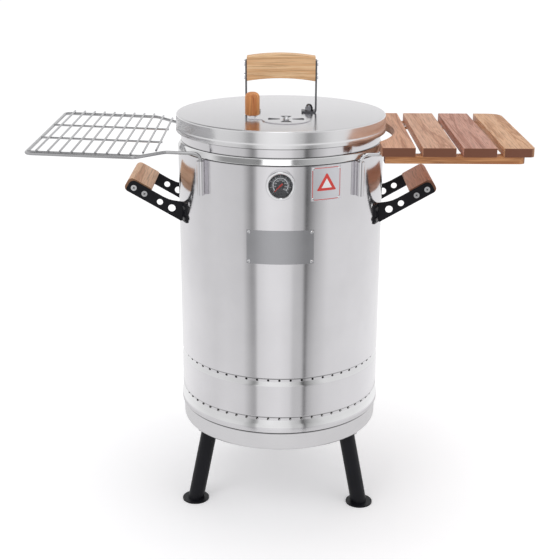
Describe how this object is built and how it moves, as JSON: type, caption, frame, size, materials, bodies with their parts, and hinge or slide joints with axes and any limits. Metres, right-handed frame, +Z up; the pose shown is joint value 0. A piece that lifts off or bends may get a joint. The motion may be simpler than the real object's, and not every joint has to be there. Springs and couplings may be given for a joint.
{
  "type": "vertical water smoker",
  "caption": "Upright stainless barrel smoker on splayed legs with a lift-off lid, thermometer, carrying handles, wire side rack and slatted wood side table.",
  "frame": {"origin": "on the drum's vertical axis at floor level", "axes": "+Z up, -Y to the front (thermometer side), +X to the right, towards the slatted table"},
  "size_m": [0.9178, 0.435, 0.9043],
  "materials": {
    "stainless": "bright rolled stainless sheet",
    "chrome": "bright plated steel",
    "strap_steel": "satin stainless strap",
    "zinc": "plain zinc",
    "dark_steel": "heat-darkened steel",
    "black_coat": "satin black powder coat",
    "pale_oak": "oiled pale oak",
    "brown_wood": "oiled brown hardwood",
    "slat_wood": "oiled brown hardwood",
    "knob_wood": "oiled red-brown hardwood",
    "dial": "matt charcoal with a white scale",
    "needle": "red enamel",
    "lens": "clear glass",
    "white_plate": "white enamel with a red border",
    "plate": "satin steel plate"
  },
  "bodies": {
    "base": {"base_pan": "stainless", "leg_front_left": "black_coat", "leg_front_right": "black_coat", "leg_back": "black_coat", "leg_bolts": "zinc", "leg_nuts": "zinc"},
    "basket": {"charcoal_basket": "dark_steel", "fire_grate": "dark_steel"},
    "drum": {"drum_shell": "stainless", "shelf_sleeves": "stainless", "inner_ledges": "stainless", "left_front_bracket": "black_coat", "left_back_bracket": "black_coat", "right_front_bracket": "black_coat", "right_back_bracket": "black_coat", "left_grip": "pale_oak", "right_grip": "brown_wood", "grip_screws": "chrome", "bracket_bolts": "chrome", "bracket_nuts": "zinc", "thermometer_case": "chrome", "thermometer_bezel": "chrome", "thermometer_dial": "dial", "thermometer_lens": "lens", "thermometer_stem": "zinc", "thermometer_nut": "zinc", "warning_plate": "white_plate", "name_plate": "plate", "plate_rivets": "chrome"},
    "needle": {"thermometer_needle": "needle"},
    "water_pan": {"water_pan": "stainless"},
    "grate": {"cooking_grate": "chrome"},
    "lid": {"lid_shell": "stainless", "lid_strap_left": "strap_steel", "lid_strap_right": "strap_steel", "lid_grip": "pale_oak", "lid_grip_screws": "chrome", "lid_bolts": "chrome", "lid_acorn_nuts": "chrome", "damper_rivet": "chrome"},
    "damper": {"damper_disc": "stainless", "damper_stud": "chrome", "damper_knob": "knob_wood"},
    "rack": {"rack_frame": "chrome", "rack_cross_wires": "chrome", "rack_wires": "chrome"},
    "table": {"table_slat_1": "slat_wood", "table_slat_2": "slat_wood", "table_slat_3": "slat_wood", "table_slat_4": "slat_wood", "table_batten_front": "knob_wood", "table_batten_back": "knob_wood", "table_rods": "chrome", "table_rod_clips": "zinc", "table_screws": "chrome"}
  },
  "joints": [
    {"name": "drum_lift", "type": "slide", "parent": "base", "child": "drum", "axis": [0, 0, 1], "range_m": [0, 0.25]},
    {"name": "basket_lift", "type": "slide", "parent": "base", "child": "basket", "axis": [0, 0, 1], "range_m": [0, 0.1]},
    {"name": "lid_lift", "type": "slide", "parent": "drum", "child": "lid", "axis": [0, 0, 1], "range_m": [0, 0.2]},
    {"name": "damper_turn", "type": "hinge", "parent": "lid", "child": "damper", "pos_m": [0.0097, -0.088, 0.793], "axis": [0, 0, 1], "range_deg": [0, 45]},
    {"name": "needle_turn", "type": "hinge", "parent": "drum", "child": "needle", "pos_m": [0, -0.206, 0.695], "axis": [0, 1, 0], "range_deg": [0, 270]},
    {"name": "water_pan_lift", "type": "slide", "parent": "drum", "child": "water_pan", "axis": [0, 0, 1], "range_m": [0, 0.12]},
    {"name": "grate_lift", "type": "slide", "parent": "drum", "child": "grate", "axis": [0, 0, 1], "range_m": [0, 0.08]},
    {"name": "rack_lift", "type": "slide", "parent": "drum", "child": "rack", "axis": [0, 0, 1], "range_m": [0, 0.07]},
    {"name": "table_lift", "type": "slide", "parent": "drum", "child": "table", "axis": [0, 0, 1], "range_m": [0, 0.07]}
  ]
}
